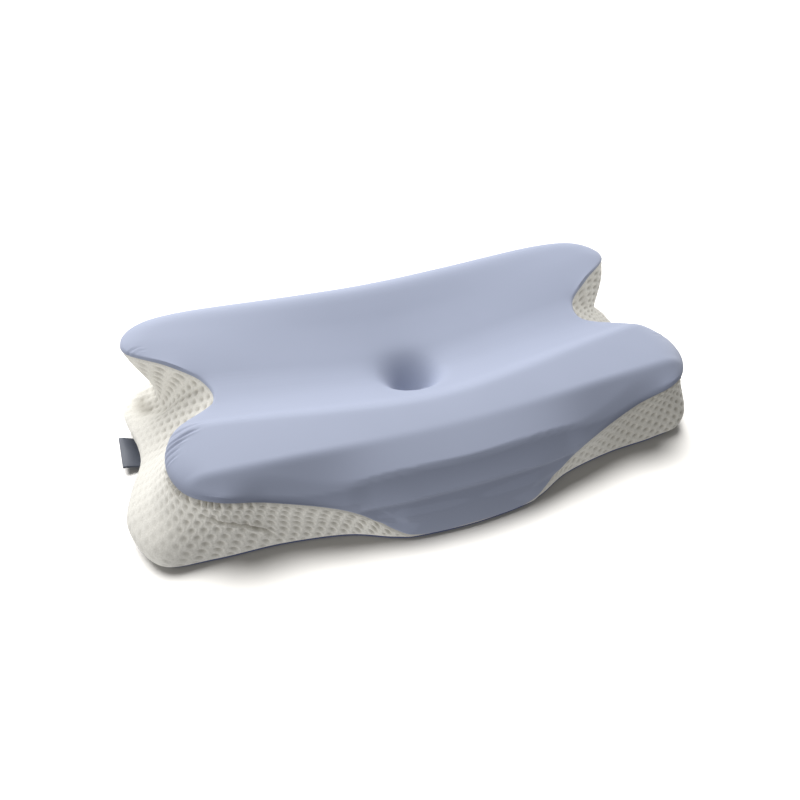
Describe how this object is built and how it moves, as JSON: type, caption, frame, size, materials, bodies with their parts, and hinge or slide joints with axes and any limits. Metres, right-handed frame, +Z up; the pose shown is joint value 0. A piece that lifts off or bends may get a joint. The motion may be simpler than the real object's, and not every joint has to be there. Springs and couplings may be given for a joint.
{
  "type": "butterfly-shaped foam pillow",
  "caption": "Anti-snore foam pillow with a head well, raised front and rear rolls, arm notches at both ends, a smooth top panel and knitted sides",
  "frame": {"origin": "centre of the footprint of the pillow's bounding box, on the surface that it rests on", "axes": "+X along the pillow's length, +Y to the rear edge, +Z up"},
  "size_m": [0.6377, 0.3423, 0.1204],
  "materials": {
    "side_knit": "matt air-layer knit",
    "cooling_cloth": "smooth stretch cloth",
    "base_cloth": "plain woven cloth",
    "tag_ribbon": "satin woven ribbon, no text"
  },
  "bodies": {
    "root": {"side_cover": "side_knit", "top_panel": "cooling_cloth", "base_panel": "base_cloth", "side_tag": "tag_ribbon"}
  },
  "joints": []
}
